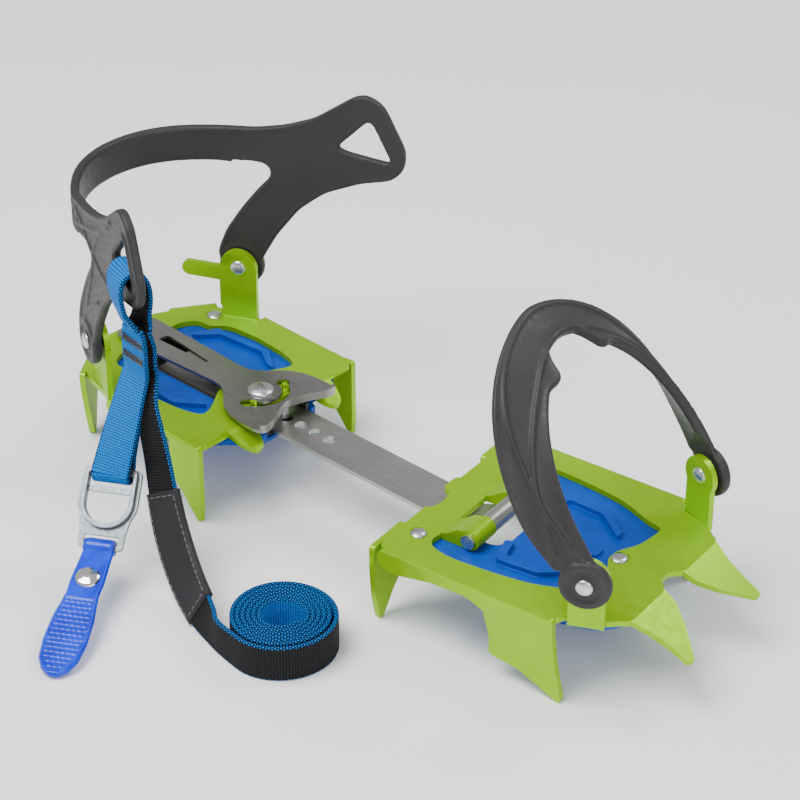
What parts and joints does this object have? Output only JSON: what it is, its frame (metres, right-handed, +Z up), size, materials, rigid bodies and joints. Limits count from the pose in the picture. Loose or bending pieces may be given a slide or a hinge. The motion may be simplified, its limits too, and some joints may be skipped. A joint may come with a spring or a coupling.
{
  "type": "strap-on crampon",
  "caption": "Strap-on crampon: front and heel frames with downward points, joined by a perforated bar, with a flexible toe bail, heel basket and webbing strap.",
  "frame": {"origin": "on the top face of the front plate, midway between the two toe bail rivets", "axes": "+X towards the toe, +Y to the far side from the strap, +Z up, away from the points"},
  "size_m": [0.3259, 0.2418, 0.1534],
  "materials": {
    "green_paint": "satin apple-green coating on pressed steel",
    "blue_plastic": "glossy moulded plastic",
    "bar_steel": "brushed stainless steel",
    "rivet_alloy": "bright turned rivet",
    "ring_steel": "tumbled forged alloy with bright edges",
    "grey_tpu": "matt moulded elastomer",
    "black_plastic": "fine textured black plastic",
    "webbing": "woven polyester, blue on one face and black on the other",
    "tack_thread": "black stitching",
    "label_rubber": "stitched dark grey sleeve",
    "tab_plastic": "clear-cast royal blue plastic",
    "snap_chrome": "polished snap cap"
  },
  "bodies": {
    "front": {"front_frame": "green_paint", "front_antiball_plate": "blue_plastic", "front_plate_rivets": "rivet_alloy", "hinge_pin": "rivet_alloy", "bail_rivets": "rivet_alloy", "bail_washers": "black_plastic"},
    "bail": {"front_bail": "grey_tpu"},
    "bar": {"linking_bar": "bar_steel"},
    "heel": {"heel_frame": "green_paint", "heel_antiball_plate": "blue_plastic", "bar_channel": "black_plastic", "heel_plate_rivets": "rivet_alloy", "basket_rivets": "rivet_alloy", "basket_washers": "black_plastic", "lever_rivet": "rivet_alloy"},
    "lever": {"adjuster_lever": "bar_steel", "lock_peg": "rivet_alloy"},
    "basket": {"heel_basket": "grey_tpu"},
    "strap": {"strap_loop": "webbing", "strap_short_strand": "webbing", "strap_tail": "webbing", "strap_coil": "webbing", "strap_bar_tacks": "tack_thread", "label_sleeve": "label_rubber"},
    "ring_front": {"upper_ring": "ring_steel"},
    "ring_back": {"lower_ring": "ring_steel"},
    "tab": {"pull_tab": "tab_plastic", "tab_snap": "snap_chrome"}
  },
  "joints": [
    {"name": "bail_hinge", "type": "hinge", "parent": "front", "child": "bail", "pos_m": [0, 0, 0.0204], "axis": [0, 1, 0], "range_deg": [-25, 25]},
    {"name": "bar_hinge", "type": "hinge", "parent": "front", "child": "bar", "pos_m": [-0.064, -0.0045, 0.002], "axis": [0, 1, 0], "range_deg": [-6, 3]},
    {"name": "length_slide", "type": "slide", "parent": "bar", "child": "heel", "axis": [0.9919, -0.1271, 0], "range_m": [-0.042, 0.0252]},
    {"name": "lever_turn", "type": "hinge", "parent": "heel", "child": "lever", "pos_m": [-0.1989, 0.01278, 0.0017], "axis": [0, 0, 1], "range_deg": [-10, 10]},
    {"name": "basket_hinge", "type": "hinge", "parent": "heel", "child": "basket", "pos_m": [-0.25246, 0.01964, 0.025], "axis": [0.1271, 0.9919, 0], "range_deg": [-10, 14]},
    {"name": "strap_swing", "type": "hinge", "parent": "basket", "child": "strap", "pos_m": [-0.20962, -0.05556, 0.084], "axis": [0.8545, -0.5195, 0], "range_deg": [-8, 5]},
    {"name": "front_ring_swing", "type": "hinge", "parent": "strap", "child": "ring_front", "pos_m": [-0.2074, -0.0743, 0.0053], "axis": [0.9232, 0.3843, 0], "range_deg": [-6, 0]},
    {"name": "back_ring_swing", "type": "hinge", "parent": "strap", "child": "ring_back", "pos_m": [-0.20796, -0.07295, 0.00379], "axis": [0.9232, 0.3843, 0], "range_deg": [0, 6]},
    {"name": "tab_swing", "type": "hinge", "parent": "ring_back", "child": "tab", "pos_m": [-0.19927, -0.09384, -0.01806], "axis": [0.9232, 0.3843, 0], "range_deg": [-20, 20]}
  ]
}
